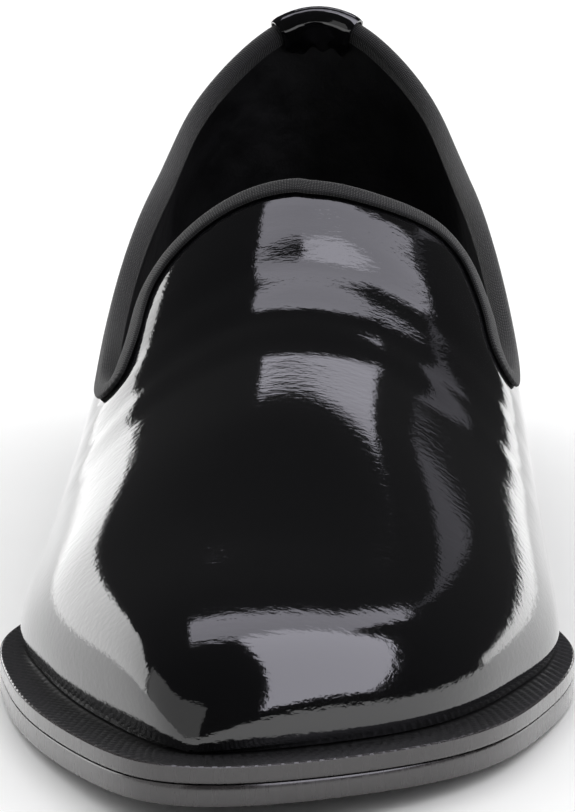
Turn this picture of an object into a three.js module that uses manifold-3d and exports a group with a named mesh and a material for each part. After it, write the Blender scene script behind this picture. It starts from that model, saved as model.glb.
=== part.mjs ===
// Left slip-on dress shoe: patent leather upper on a welted leather sole with a stacked heel.
// Millimetres. The toe points along -Y, the outer side of the foot is +X, up is +Z.
import * as THREE from 'three';
import { mergeVertices } from 'three/addons/utils/BufferGeometryUtils.js';
import Module from 'manifold-3d';

const wasm = await Module();
wasm.setup();

// Sole and heel
const soleLength = 300;
const heelHeight = 25;
const seatRise = 3;
const toeSpring = 5;
const outsoleThickness = 4;
const weltThickness = 3.2;
const weltDrop = 0.1;
const weltReach = { heel: 3, waist: 2, ball: 2.2, corner: 6, toe: 8.5 };
const heelLength = 68;
const breastHollow = 3;
const heelTaper = 0.06;
const topPieceThickness = 7;
const liftCount = 3;

// Where the sole leaves the floor, from the middle of its length
const flatFront = -50;
const flatBack = -25;
const arch = 100;

// Last and upper
const ballWidth = 96;
const instepHeight = 80;
const backHeight = 58;
const wall = 2;
const backSwell = 2.5;
const backLean = 6;
const backReach = 70;
const toeRoundPlan = 70;
const toeRoundSide = 40;
const heelRound = 42;

// Trim and inside
const gap = 0.3;
const bindingBand = 3;
const bindingThickness = 0.8;
const tabWidth = 20;
const tabThickness = 1.2;
const tabOutside = 16;
const tabInside = 8;
const insoleRise = 1.8;

// Fineness of the faceted surfaces
const stationCount = 34;
const sideSteps = 10;
const collarSteps = 2;
const heelSteps = 12;
const breastSteps = 6;
const foldShare = 0.9;

// Sections across the last. along: share of the last's length from the heel. mid: where the centre
// line lies, outward positive. inner and outer: half widths at the lower edge. bulge: how far the
// side swells past them. shoulder: how far the top stays broad. All are shares of the ball width,
// but ridge, the top's height, is a share of the instep height, and rise is a share of the ridge.
const lastTable = [
  { along: 0, mid: -0.09, inner: 0.3, outer: 0.3, bulge: 0.05, rise: 0.4, shoulder: 0.08, ridge: 1.05 },
  { along: 0.12, mid: -0.075, inner: 0.31, outer: 0.31, bulge: 0.15, rise: 0.28, shoulder: 0.1, ridge: 1 },
  { along: 0.25, mid: -0.05, inner: 0.31, outer: 0.31, bulge: 0.18, rise: 0.32, shoulder: 0.16, ridge: 1.02 },
  { along: 0.38, mid: -0.03, inner: 0.31, outer: 0.31, bulge: 0.29, rise: 0.24, shoulder: 0.22, ridge: 0.93 },
  { along: 0.5, mid: -0.01, inner: 0.36, outer: 0.36, bulge: 0.24, rise: 0.27, shoulder: 0.32, ridge: 0.82 },
  { along: 0.62, mid: 0, inner: 0.425, outer: 0.427, bulge: 0.21, rise: 0.3, shoulder: 0.28, ridge: 0.64 },
  { along: 0.72, mid: 0, inner: 0.52, outer: 0.53, bulge: 0.02, rise: 0.4, shoulder: 0.24, ridge: 0.555 },
  { along: 0.82, mid: -0.02, inner: 0.455, outer: 0.48, bulge: 0.03, rise: 0.5, shoulder: 0.26, ridge: 0.42 },
  { along: 0.91, mid: -0.06, inner: 0.345, outer: 0.41, bulge: 0.02, rise: 0.6, shoulder: 0.24, ridge: 0.32 },
  { along: 1, mid: -0.112, inner: 0.195, outer: 0.245, bulge: 0.02, rise: 0.7, shoulder: 0.2, ridge: 0.26 },
];

// Edge of the collar seen from the side, from past the back seam forward along the quarter,
// round the low corner and up the front of the throat. Along: share of the last's length.
// Height: above the upper's lower edge, a share of the back height.
const collarTable = [
  { innerAlong: -0.06, innerHeight: 1.3, outerAlong: -0.06, outerHeight: 1.3 },
  { innerAlong: 0.012, innerHeight: 1, outerAlong: 0.012, outerHeight: 1 },
  { innerAlong: 0.035, innerHeight: 0.89, outerAlong: 0.035, outerHeight: 0.89 },
  { innerAlong: 0.07, innerHeight: 0.775, outerAlong: 0.07, outerHeight: 0.775 },
  { innerAlong: 0.13, innerHeight: 0.68, outerAlong: 0.13, outerHeight: 0.68 },
  { innerAlong: 0.215, innerHeight: 0.62, outerAlong: 0.215, outerHeight: 0.62 },
  { innerAlong: 0.3, innerHeight: 0.585, outerAlong: 0.3, outerHeight: 0.585 },
  { innerAlong: 0.38, innerHeight: 0.572, outerAlong: 0.37, outerHeight: 0.568 },
  { innerAlong: 0.46, innerHeight: 0.582, outerAlong: 0.43, outerHeight: 0.555 },
  { innerAlong: 0.525, innerHeight: 0.603, outerAlong: 0.475, outerHeight: 0.553 },
  { innerAlong: 0.553, innerHeight: 0.603, outerAlong: 0.505, outerHeight: 0.572 },
  { innerAlong: 0.569, innerHeight: 0.632, outerAlong: 0.522, outerHeight: 0.602 },
  { innerAlong: 0.56, innerHeight: 0.674, outerAlong: 0.519, outerHeight: 0.648 },
  { innerAlong: 0.541, innerHeight: 0.733, outerAlong: 0.503, outerHeight: 0.697 },
  { innerAlong: 0.508, innerHeight: 0.815, outerAlong: 0.479, outerHeight: 0.776 },
  { innerAlong: 0.496, innerHeight: 0.886, outerAlong: 0.466, outerHeight: 0.85 },
  { innerAlong: 0.489, innerHeight: 0.99, outerAlong: 0.466, outerHeight: 0.966 },
  { innerAlong: 0.485, innerHeight: 1.12, outerAlong: 0.483, outerHeight: 1.11 },
  { innerAlong: 0.484, innerHeight: 1.33, outerAlong: 0.484, outerHeight: 1.33 },
  { innerAlong: 0.484, innerHeight: 2.4, outerAlong: 0.484, outerHeight: 2.4 },
];

// Natural cubic spline through the points, straight beyond its ends.
function spline(xs, ys) {
  const n = xs.length;
  const bend = new Array(n).fill(0);
  const upper = new Array(n).fill(0);
  for (let i = 1; i < n - 1; i++) {
    const before = xs[i] - xs[i - 1];
    const after = xs[i + 1] - xs[i];
    const pivot = 2 * (before + after) - before * upper[i - 1];
    const turn = 6 * ((ys[i + 1] - ys[i]) / after - (ys[i] - ys[i - 1]) / before);
    upper[i] = after / pivot;
    bend[i] = (turn - before * bend[i - 1]) / pivot;
  }
  for (let i = n - 2; i > 0; i--) bend[i] -= upper[i] * bend[i + 1];
  return (x) => {
    let i = 0;
    while (i < n - 2 && x > xs[i + 1]) i++;
    const h = xs[i + 1] - xs[i];
    const start = (ys[i + 1] - ys[i]) / h - (h * (2 * bend[i] + bend[i + 1])) / 6;
    if (x < xs[0]) return ys[0] + (x - xs[0]) * start;
    if (x > xs[n - 1]) {
      const end = (ys[i + 1] - ys[i]) / h + (h * (bend[i] + 2 * bend[i + 1])) / 6;
      return ys[n - 1] + (x - xs[n - 1]) * end;
    }
    const t = x - xs[i];
    return ys[i] + t * (start + t * (bend[i] / 2 + (t * (bend[i + 1] - bend[i])) / (6 * h)));
  };
}

// The last: the form inside the shoe. s is the distance forward from its heel end.
const lastLength = soleLength - weltReach.heel - weltReach.toe;
const heelEnd = soleLength / 2 - weltReach.heel;
const column = (name, scale) =>
  spline(lastTable.map((row) => row.along * lastLength), lastTable.map((row) => row[name] * scale));
const centreAt = column('mid', ballWidth);
const innerAt = column('inner', ballWidth);
const outerAt = column('outer', ballWidth);
const bulgeAt = column('bulge', ballWidth);
const riseAt = column('rise', 1);
const shoulderAt = column('shoulder', ballWidth);
const ridgeAt = column('ridge', instepHeight);

// Rounds an end off: 1 inside the form, falling to 0 at the end over the given length.
const rounding = (distance, length) => {
  const depth = 1 - Math.min(distance / length, 1);
  return Math.sqrt(Math.max(1 - depth ** 3, 0));
};
const planRound = (s) => rounding(lastLength - s, toeRoundPlan) * rounding(s, heelRound);

// Underside of the outsole: flat at the ball, sprung at the toe, arched up to the heel seat.
function soleBottom(y) {
  if (y < flatFront) return toeSpring * ((flatFront - y) / (soleLength / 2 + flatFront)) ** 2;
  const q = Math.min(Math.max((y - flatBack) / arch, 0), 1);
  const seat = Math.max(y - flatBack - arch, 0) / (soleLength / 2 - flatBack - arch);
  return (heelHeight - seatRise) * q * q * (3 - 2 * q) + seatRise * seat * seat;
}
const weltBottom = (y) => soleBottom(y) + outsoleThickness + gap;
const upperBottom = (y) => weltBottom(y) + weltThickness + gap;

// Centre line in plan and the direction across it.
function centreLine(s) {
  const step = 0.5;
  const slope = (centreAt(s + step) - centreAt(s - step)) / (2 * step);
  const across = new THREE.Vector2(1, slope).normalize();
  return { point: new THREE.Vector2(centreAt(s), heelEnd - s), across };
}

// A turn from 0 at the heel to PI at the toe spaces the stations closely at both round ends.
const stationAt = (turn) => (lastLength * (1 - Math.cos(turn))) / 2;
const turnAt = (s) => Math.acos(1 - (2 * s) / lastLength);

// Point on the last. side is +1 outward of the foot or -1 inward, t runs from edge to ridge.
function lastPoint(turn, t, side) {
  const s = stationAt(turn);
  const { point, across } = centreLine(s);
  const half = (side > 0 ? outerAt(s) : innerAt(s)) * planRound(s);
  const belly = half + bulgeAt(s) * planRound(s);
  const shoulder = shoulderAt(s) * planRound(s);
  const ridge = ridgeAt(s) * rounding(lastLength - s, toeRoundSide);
  const u = 1 - t;
  const reach = u ** 3 * half + 3 * u * u * t * belly + 3 * u * t * t * shoulder;
  const height = ridge * (3 * u * u * t * riseAt(s) + 3 * u * t * t + t ** 3);
  const share = height / backHeight;
  const back = Math.max(1 - s / backReach, 0) ** 2;
  const swell = backSwell * 4 * share * Math.max(1 - share, 0) - backLean * share * share;
  const y = point.y + side * across.y * reach;
  return new THREE.Vector3(point.x + side * across.x * reach, y + back * swell, upperBottom(y) + height);
}

// The same point moved out of the last by offset, or into it where offset is negative.
function offsetPoint(turn, t, side, offset) {
  const at = lastPoint(turn, t, side);
  if (offset === 0) return at;
  const step = 1e-3;
  if (turn > Math.PI - step) {
    const { across } = centreLine(lastLength);
    return at.add(new THREE.Vector3(across.y, -across.x, 0).multiplyScalar(offset));
  }
  const t0 = Math.max(t - step, 0);
  const t1 = Math.min(t + step, 1);
  const up = lastPoint(turn + step / 2, t1, side).sub(lastPoint(turn + step / 2, t0, side));
  const along = lastPoint(turn + step, t, side).sub(lastPoint(Math.max(turn - step, 0), t, side));
  const normal = along.cross(up).multiplyScalar(side).normalize();
  if (turn === 0) normal.x = 0;
  return at.add(normal.normalize().multiplyScalar(-offset));
}

// Edge of the sole in plan, a reach outside the last's lower edge.
const reachAt = spline(
  [0, 0.25, 0.45, 0.7, 0.84, 1].map((share) => share * lastLength),
  [weltReach.heel, weltReach.heel, weltReach.waist, weltReach.ball, weltReach.corner, weltReach.toe],
);
function edgePoint(turn, side, reach) {
  const step = 1e-3;
  const plan = (angle) => {
    const s = stationAt(angle);
    const { point, across } = centreLine(s);
    const half = (side > 0 ? outerAt(s) : innerAt(s)) * planRound(s);
    return point.clone().addScaledVector(across, side * half);
  };
  const low = Math.max(turn - step, 0);
  const high = Math.min(turn + step, Math.PI);
  const along = plan(high).sub(plan(low)).normalize();
  const out = new THREE.Vector2(-along.y, along.x).multiplyScalar(side);
  if (turn === 0) out.set(0, 1);
  if (turn === Math.PI) out.set(centreLine(lastLength).across.y, -centreLine(lastLength).across.x);
  return plan(turn).addScaledVector(out, reach);
}

const stationTurns = Array.from({ length: stationCount + 1 }, (_, i) => (Math.PI * i) / stationCount);

// Left and right edge points of a layer of the sole at each station.
const rails = (reachOf) =>
  stationTurns.map((turn) => ({
    left: edgePoint(turn, -1, reachOf(stationAt(turn))),
    right: edgePoint(turn, 1, reachOf(stationAt(turn))),
  }));

// Closed solid from a triangle list of points, with equal points joined.
function solidOf(triangles) {
  const positions = triangles.flatMap((corners) => corners.flatMap((p) => [p.x, p.y, p.z]));
  const loose = new THREE.BufferGeometry();
  loose.setAttribute('position', new THREE.Float32BufferAttribute(positions, 3));
  const joined = mergeVertices(loose, 1e-4);
  const index = joined.index.array;
  const kept = [];
  for (let i = 0; i < index.length; i += 3) {
    const [a, b, c] = [index[i], index[i + 1], index[i + 2]];
    if (a !== b && b !== c && c !== a) kept.push(a, b, c);
  }
  return new wasm.Manifold(
    new wasm.Mesh({
      numProp: 3,
      vertProperties: new Float32Array(joined.attributes.position.array),
      triVerts: new Uint32Array(kept),
    }),
  );
}

const quad = (a, b, c, d) => [[a, b, c], [a, c, d]];
const lift = (p, z) => new THREE.Vector3(p.x, p.y, z);

// A sheet between two heights over the whole outline.
function slab(edges, low, high) {
  const corner = edges.map(({ left, right }) => ({
    lowLeft: lift(left, low(left.y)),
    lowRight: lift(right, low(right.y)),
    highLeft: lift(left, high(left.y)),
    highRight: lift(right, high(right.y)),
  }));
  const triangles = [];
  for (let i = 0; i + 1 < corner.length; i++) {
    const a = corner[i];
    const b = corner[i + 1];
    triangles.push(...quad(a.highRight, a.highLeft, b.highLeft, b.highRight));
    triangles.push(...quad(a.lowLeft, a.lowRight, b.lowRight, b.lowLeft));
    triangles.push(...quad(a.highLeft, a.lowLeft, b.lowLeft, b.highLeft));
    triangles.push(...quad(a.lowRight, a.highRight, b.highRight, b.lowRight));
  }
  return solidOf(triangles);
}

// A strip all round between an outer and an inner outline.
function ring(outer, inner, low, high, drop) {
  const loop = (edges) => [
    ...edges.map(({ right }) => right),
    ...edges.slice(1, -1).reverse().map(({ left }) => left),
  ];
  const out = loop(outer);
  const into = loop(inner);
  const triangles = [];
  for (let i = 0; i < out.length; i++) {
    const k = (i + 1) % out.length;
    const corners = [out[i], out[k], into[k], into[i]];
    const base = corners.map((p) => lift(p, low(p.y)));
    const top = corners.map((p, at) => lift(p, high(p.y) - (at < 2 ? drop : 0)));
    triangles.push(...quad(top[3], top[2], top[1], top[0]));
    triangles.push(...quad(base[0], base[1], base[2], base[3]));
    triangles.push(...quad(top[0], top[1], base[1], base[0]));
    triangles.push(...quad(top[2], top[3], base[3], base[2]));
  }
  return solidOf(triangles);
}

// The last as a closed form, offset from its surface. drop lengthens it downward.
function lastForm(offset, drop) {
  const rows = stationTurns.map((turn) => {
    const row = [];
    for (let k = 0; k <= sideSteps; k++) row.push(offsetPoint(turn, k / sideSteps, 1, offset));
    for (let k = sideSteps - 1; k >= 0; k--) row.push(offsetPoint(turn, k / sideSteps, -1, offset));
    if (drop > 0) {
      const down = (p) => lift(p, p.z - drop);
      row.unshift(down(row[0]));
      row.push(down(row[row.length - 1]));
    }
    return row;
  });
  const triangles = [];
  for (let i = 0; i + 1 < rows.length; i++) {
    const [a, b] = [rows[i], rows[i + 1]];
    for (let k = 0; k < a.length; k++) {
      const m = (k + 1) % a.length;
      triangles.push(...quad(a[k], a[m], b[m], b[k]));
    }
  }
  return solidOf(triangles);
}

// Solid between two loops of points, near and far. flat holds the loop's shape in the plane.
function between(flat, near, far) {
  if (THREE.ShapeUtils.isClockWise(flat)) {
    return between([...flat].reverse(), [...near].reverse(), [...far].reverse());
  }
  const triangles = [];
  for (const [a, b, c] of THREE.ShapeUtils.triangulateShape(flat, [])) {
    triangles.push([near[c], near[b], near[a]], [far[a], far[b], far[c]]);
  }
  for (let i = 0; i < near.length; i++) {
    const k = (i + 1) % near.length;
    triangles.push(...quad(near[i], near[k], far[k], far[i]));
  }
  return solidOf(triangles);
}
const prism = (base, top) => between(base.map((p) => new THREE.Vector2(p.x, p.y)), base, top);

// Shortest distance from a point to a line of points.
function distanceTo(line, p) {
  let best = Infinity;
  const nearest = new THREE.Vector3();
  for (let i = 0; i + 1 < line.length; i++) {
    const stretch = new THREE.Line3(lift(line[i], 0), lift(line[i + 1], 0));
    stretch.closestPointToPoint(lift(p, 0), true, nearest);
    best = Math.min(best, nearest.distanceTo(lift(p, 0)));
  }
  return best;
}

// Everything inside the collar's edge, from side to side. grow widens it all round, and the
// points that fold over each other at the tight corner are left out.
function collarOpening(grow) {
  const middle = centreAt(collarTable[collarTable.length - 1].innerAlong * lastLength);
  const halves = [
    { name: 'inner', from: -ballWidth, to: middle },
    { name: 'outer', from: middle, to: ballWidth },
  ].map(({ name, from, to }) => {
    const points = collarTable.map((row) => {
      const y = heelEnd - row[`${name}Along`] * lastLength;
      return new THREE.Vector2(y, upperBottom(y) + row[`${name}Height`] * backHeight);
    });
    const travel = [0];
    for (let i = 1; i < points.length; i++) {
      travel.push(travel[i - 1] + points[i].distanceTo(points[i - 1]));
    }
    const yAt = spline(travel, points.map((p) => p.x));
    const zAt = spline(travel, points.map((p) => p.y));
    const edge = [];
    const moved = [];
    for (let i = 0; i < (points.length - 1) * collarSteps + 1; i++) {
      const row = Math.min(Math.floor(i / collarSteps), points.length - 2);
      const at = travel[row] + (i / collarSteps - row) * (travel[row + 1] - travel[row]);
      const step = 0.1;
      const along = new THREE.Vector2(yAt(at + step) - yAt(at - step), zAt(at + step) - zAt(at - step));
      along.normalize();
      edge.push(new THREE.Vector2(yAt(at), zAt(at)));
      moved.push(new THREE.Vector2(yAt(at) - along.y * grow, zAt(at) + along.x * grow));
    }
    const loop = moved.filter((p) => distanceTo(edge, p) >= Math.abs(grow) * foldShare);
    loop.push(new THREE.Vector2(loop[0].x, loop[loop.length - 1].y));
    const face = (x) => loop.map((p) => new THREE.Vector3(x, p.x, p.y));
    return between(loop, face(from), face(to));
  });
  return halves[0].add(halves[1]);
}

// Upper: one hollow shell, open at the collar and underneath.
const belowUpper = outsoleThickness + weltThickness + 10;
const buildUpper = () =>
  lastForm(0, 0).subtract(lastForm(-wall, belowUpper)).subtract(collarOpening(0));

// The largest body of a solid, without the slivers that a cut can leave.
const mainBody = (solid) =>
  solid.decompose().reduce((best, body) => (body.volume() > best.volume() ? body : best));

// A strip folded over the collar's edge. under is its clearance from the leather on each side,
// and the solids outside and inside hold as much of each leg as is kept.
function foldedStrip(under, thickness, outside, inside) {
  const over = under + thickness;
  const top = collarOpening(-over);
  const outerLeg = lastForm(over, 0).subtract(lastForm(0, 0)).intersect(outside);
  const innerLeg = lastForm(0, 0).subtract(lastForm(-wall - over, 0)).intersect(inside);
  const slot = lastForm(under, 0).subtract(lastForm(-wall - under, 0)).subtract(collarOpening(-under));
  return mainBody(outerLeg.add(innerLeg).subtract(top).subtract(slot));
}

function buildBinding() {
  const band = collarOpening(bindingBand);
  return foldedStrip(gap, bindingThickness, band, band);
}

// Tab over the binding at the back seam.
function buildHeelTab() {
  const under = gap + bindingThickness + gap;
  const middle = centreAt(0);
  const collarTop = upperBottom(heelEnd) + backHeight;
  const block = (depth) => {
    const [front, back] = [heelEnd - heelRound, soleLength];
    const [left, right] = [middle - tabWidth / 2, middle + tabWidth / 2];
    const corners = [[left, front], [right, front], [right, back], [left, back]];
    const plan = (z) => corners.map(([x, y]) => new THREE.Vector3(x, y, z));
    return prism(plan(collarTop - depth), plan(collarTop + instepHeight));
  };
  return foldedStrip(under, tabThickness, block(tabOutside), block(tabInside));
}

// Outline of the heel at a height, tapering in as it goes down.
function heelOutline(z) {
  const inset = (heelHeight - z) * heelTaper;
  const breastTurn = turnAt(heelLength - weltReach.heel);
  const side = (sign) =>
    Array.from({ length: heelSteps + 1 }, (_, i) =>
      lift(edgePoint((breastTurn * i) / heelSteps, sign, weltReach.heel - inset), z));
  const right = side(1);
  const left = side(-1).slice(1).reverse();
  const from = right[right.length - 1];
  const to = left[0];
  const breast = [];
  for (let i = 1; i < breastSteps; i++) {
    const share = i / breastSteps;
    const hollow = breastHollow * 4 * share * (1 - share);
    breast.push(new THREE.Vector3().lerpVectors(from, to, share).add(new THREE.Vector3(0, hollow, 0)));
  }
  return [...right, ...breast, ...left];
}

const liftThickness = (heelHeight - seatRise - topPieceThickness) / liftCount;
const heelLayer = (low, high) => prism(heelOutline(low), heelOutline(high));
const buildTopPiece = () => heelLayer(0, topPieceThickness);

// Lifts are flat, but the uppermost is shaved to the underside of the outsole.
function buildLift(k) {
  const low = topPieceThickness + k * liftThickness;
  const uppermost = k === liftCount - 1;
  const high = uppermost ? heelHeight + gap : low + liftThickness;
  const layer = heelLayer(low, high);
  if (!uppermost) return layer;
  const wide = rails(() => weltReach.toe + gap);
  const sole = slab(wide, (y) => soleBottom(y) - gap, (y) => soleBottom(y) + heelHeight);
  return layer.subtract(sole);
}

const buildOutsole = () =>
  slab(rails(reachAt), soleBottom, (y) => soleBottom(y) + outsoleThickness);
const buildWelt = () =>
  ring(rails(reachAt), rails(() => -wall), weltBottom, (y) => weltBottom(y) + weltThickness, weltDrop);
const buildInsole = () =>
  slab(rails(() => -wall - gap), weltBottom, (y) => upperBottom(y) + insoleRise);

const material = (name, color, roughness) =>
  new THREE.MeshStandardMaterial({ name, color, roughness, metalness: 0 });
const patentLeather = material('patent leather', 0x101012, 0.08);
const grosgrain = material('grosgrain ribbon', 0x141416, 0.85);
const soleLeather = material('sole leather', 0x1d1a19, 0.4);
const heelRubber = material('heel rubber', 0x161616, 0.7);
const liningLeather = material('lining leather', 0x1a1918, 0.55);

// Name a solid and give it its material.
function piece(name, solid, finish) {
  const { vertProperties, triVerts, numProp } = solid.getMesh();
  const geometry = new THREE.BufferGeometry();
  const positions = [];
  for (let i = 0; i < vertProperties.length; i += numProp) {
    positions.push(vertProperties[i], vertProperties[i + 1], vertProperties[i + 2]);
  }
  geometry.setAttribute('position', new THREE.Float32BufferAttribute(positions, 3));
  geometry.setIndex(Array.from(triVerts));
  geometry.computeVertexNormals();
  const mesh = new THREE.Mesh(geometry, finish);
  mesh.name = name;
  return mesh;
}

const shoe = new THREE.Group();
shoe.add(piece('outsole', buildOutsole(), soleLeather));
shoe.add(piece('welt', buildWelt(), soleLeather));
shoe.add(piece('top_piece', buildTopPiece(), heelRubber));
for (let k = 0; k < liftCount; k++) {
  shoe.add(piece(`heel_lift_${liftCount - k}`, buildLift(k), soleLeather));
}
shoe.add(piece('upper', buildUpper(), patentLeather));
shoe.add(piece('insole', buildInsole(), liningLeather));
shoe.add(piece('collar_binding', buildBinding(), grosgrain));
shoe.add(piece('heel_tab', buildHeelTab(), patentLeather));

// Stand the middle of the shoe's box over the origin, on the floor.
const box = new THREE.Box3().setFromObject(shoe);
const middle = box.getCenter(new THREE.Vector3());
shoe.position.set(-middle.x, -middle.y, -box.min.z);

export default shoe;
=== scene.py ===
"""Left slip-on shoe in black patent leather: the pieces that show, their finishes, and a studio."""
import math

import bpy
import numpy as np
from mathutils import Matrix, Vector


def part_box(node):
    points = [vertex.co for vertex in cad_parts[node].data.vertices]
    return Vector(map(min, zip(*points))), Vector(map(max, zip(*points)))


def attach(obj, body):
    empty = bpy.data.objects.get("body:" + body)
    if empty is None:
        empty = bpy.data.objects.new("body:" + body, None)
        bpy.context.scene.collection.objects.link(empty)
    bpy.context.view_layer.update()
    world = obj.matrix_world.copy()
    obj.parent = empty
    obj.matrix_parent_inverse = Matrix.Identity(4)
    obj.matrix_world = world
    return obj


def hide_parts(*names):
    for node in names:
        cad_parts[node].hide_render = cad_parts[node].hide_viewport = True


bl_info = {
    "name": "Patent slip-on shoe",
    "version": (1, 0, 0),
    "blender": (4, 5, 0),
    "location": "View3D > Sidebar > Shoe",
    "description": "Makes the leather, ribbon and sole of a slip-on shoe around its solids, and lights them",
    "category": "Object",
}

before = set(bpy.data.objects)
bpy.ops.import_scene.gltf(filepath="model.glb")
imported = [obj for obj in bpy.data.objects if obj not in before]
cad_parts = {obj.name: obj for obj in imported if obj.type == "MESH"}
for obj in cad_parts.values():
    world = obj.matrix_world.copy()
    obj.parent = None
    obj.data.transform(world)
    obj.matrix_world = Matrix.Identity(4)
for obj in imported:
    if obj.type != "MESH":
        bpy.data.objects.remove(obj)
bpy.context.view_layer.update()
BODY = "root"
MM = 0.001

# Sizes of the sole and heel in millimetres, as the solids have them
SOLE_LENGTH = 300.0
HEEL_HEIGHT = 25.0
SEAT_RISE = 3.0
TOE_SPRING = 5.0
OUTSOLE_THICKNESS = 4.0
WELT_THICKNESS = 3.2
WELT_DROP = 0.1
WELT_REACH_HEEL = 3.0
WELT_REACH_WAIST = 2.0
WELT_REACH_BALL = 2.2
WELT_REACH_CORNER = 6.0
WELT_REACH_TOE = 8.5
HEEL_LENGTH = 68.0
BREAST_HOLLOW = 3.0
HEEL_TAPER = 0.06
TOP_PIECE_THICKNESS = 7.0
LIFT_COUNT = 3
FLAT_FRONT = -50.0
FLAT_BACK = -25.0
ARCH = 100.0

# Sizes of the last and upper in millimetres
BALL_WIDTH = 96.0
INSTEP_HEIGHT = 80.0
BACK_HEIGHT = 58.0
WALL = 2.0
BACK_SWELL = 2.5
BACK_LEAN = 6.0
BACK_REACH = 70.0
TOE_ROUND_PLAN = 70.0
TOE_ROUND_SIDE = 40.0
HEEL_ROUND = 42.0
GAP = 0.3
INSOLE_RISE = 1.8
INSOLE_GAP = 0.15

# Sections across the last, from the heel forward, as shares of the sizes above
LAST_COLUMNS = ("along", "mid", "inner", "outer", "bulge", "rise", "shoulder", "ridge")
LAST_TABLE = (
    (0.00, -0.090, 0.30, 0.30, 0.05, 0.40, 0.08, 1.05),
    (0.12, -0.075, 0.31, 0.31, 0.15, 0.28, 0.10, 1.00),
    (0.25, -0.050, 0.31, 0.31, 0.18, 0.32, 0.16, 1.02),
    (0.38, -0.030, 0.31, 0.31, 0.29, 0.24, 0.22, 0.93),
    (0.50, -0.010, 0.36, 0.36, 0.24, 0.27, 0.32, 0.82),
    (0.62, 0.000, 0.425, 0.427, 0.21, 0.30, 0.28, 0.64),
    (0.72, 0.000, 0.52, 0.53, 0.02, 0.40, 0.24, 0.555),
    (0.82, -0.020, 0.455, 0.48, 0.03, 0.50, 0.26, 0.42),
    (0.91, -0.060, 0.345, 0.41, 0.02, 0.60, 0.24, 0.32),
    (1.00, -0.112, 0.195, 0.245, 0.02, 0.70, 0.20, 0.26),
)

# Edge of the collar from the side, from past the back seam to over the throat
COLLAR_COLUMNS = ("inner_along", "inner_height", "outer_along", "outer_height")
COLLAR_TABLE = (
    (-0.060, 1.300, -0.060, 1.300),
    (0.012, 1.000, 0.012, 1.000),
    (0.035, 0.890, 0.035, 0.890),
    (0.070, 0.775, 0.070, 0.775),
    (0.130, 0.680, 0.130, 0.680),
    (0.215, 0.620, 0.215, 0.620),
    (0.300, 0.585, 0.300, 0.585),
    (0.380, 0.572, 0.370, 0.568),
    (0.460, 0.582, 0.430, 0.555),
    (0.525, 0.603, 0.475, 0.553),
    (0.553, 0.603, 0.505, 0.572),
    (0.569, 0.632, 0.522, 0.602),
    (0.560, 0.674, 0.519, 0.648),
    (0.541, 0.733, 0.503, 0.697),
    (0.508, 0.815, 0.479, 0.776),
    (0.496, 0.886, 0.466, 0.850),
    (0.489, 0.990, 0.466, 0.966),
    (0.485, 1.120, 0.483, 1.110),
    (0.484, 1.330, 0.484, 1.330),
    (0.484, 2.400, 0.484, 2.400),
)


def column(table, names, name):
    """One named column of a table."""
    return np.array([row[names.index(name)] for row in table], float)


def natural_spline(xs, ys):
    """Natural cubic spline through the points, straight beyond its ends."""
    xs, ys = np.asarray(xs, float), np.asarray(ys, float)
    h = np.diff(xs)
    n = len(xs)
    system, right = np.eye(n), np.zeros(n)
    for i in range(1, n - 1):
        system[i, i - 1:i + 2] = h[i - 1], 2 * (h[i - 1] + h[i]), h[i]
        right[i] = 6 * ((ys[i + 1] - ys[i]) / h[i] - (ys[i] - ys[i - 1]) / h[i - 1])
    bend = np.linalg.solve(system, right)
    slope = np.diff(ys) / h - h * (2 * bend[:-1] + bend[1:]) / 6
    end_slope = (ys[-1] - ys[-2]) / h[-1] + h[-1] * (bend[-2] + 2 * bend[-1]) / 6

    def at(x):
        x = np.asarray(x, float)
        i = np.clip(np.searchsorted(xs, x) - 1, 0, n - 2)
        t = x - xs[i]
        y = ys[i] + t * (slope[i] + t * (bend[i] / 2 + t * (bend[i + 1] - bend[i]) / (6 * h[i])))
        y = np.where(x < xs[0], ys[0] + (x - xs[0]) * slope[0], y)
        return np.where(x > xs[-1], ys[-1] + (x - xs[-1]) * end_slope, y)

    return at


# The last. s is the distance forward from its heel end, turn the angle that spaces stations
# closely at both round ends, and v runs from -1, the inner lower edge, over 0, the ridge, to 1.
LAST_LENGTH = SOLE_LENGTH - WELT_REACH_HEEL - WELT_REACH_TOE
HEEL_END = SOLE_LENGTH / 2 - WELT_REACH_HEEL
TINY_TURN = 1e-3


def last_column(name, scale):
    """Spline along the last through one column of its table."""
    along = column(LAST_TABLE, LAST_COLUMNS, "along") * LAST_LENGTH
    return natural_spline(along, column(LAST_TABLE, LAST_COLUMNS, name) * scale)


mid_at = last_column("mid", BALL_WIDTH)
inner_at = last_column("inner", BALL_WIDTH)
outer_at = last_column("outer", BALL_WIDTH)
bulge_at = last_column("bulge", BALL_WIDTH)
rise_at = last_column("rise", 1)
shoulder_at = last_column("shoulder", BALL_WIDTH)
ridge_at = last_column("ridge", INSTEP_HEIGHT)
reach_at = natural_spline(
    np.array([0, 0.25, 0.45, 0.7, 0.84, 1]) * LAST_LENGTH,
    [WELT_REACH_HEEL, WELT_REACH_HEEL, WELT_REACH_WAIST, WELT_REACH_BALL, WELT_REACH_CORNER, WELT_REACH_TOE],
)


def smooth_step(x):
    """0 up to x = 0, 1 from x = 1, and smooth between."""
    x = np.clip(x, 0, 1)
    return x * x * (3 - 2 * x)


def hump(x, width):
    """A soft bump of height 1 at x = 0."""
    return np.exp(-((x / width) ** 2))


def rounding(distance, length):
    """1 inside the form, falling to 0 at its end over the length."""
    depth = 1 - np.minimum(distance / length, 1)
    return np.sqrt(np.maximum(1 - depth ** 3, 0))


def plan_round(s):
    return rounding(LAST_LENGTH - s, TOE_ROUND_PLAN) * rounding(s, HEEL_ROUND)


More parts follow.
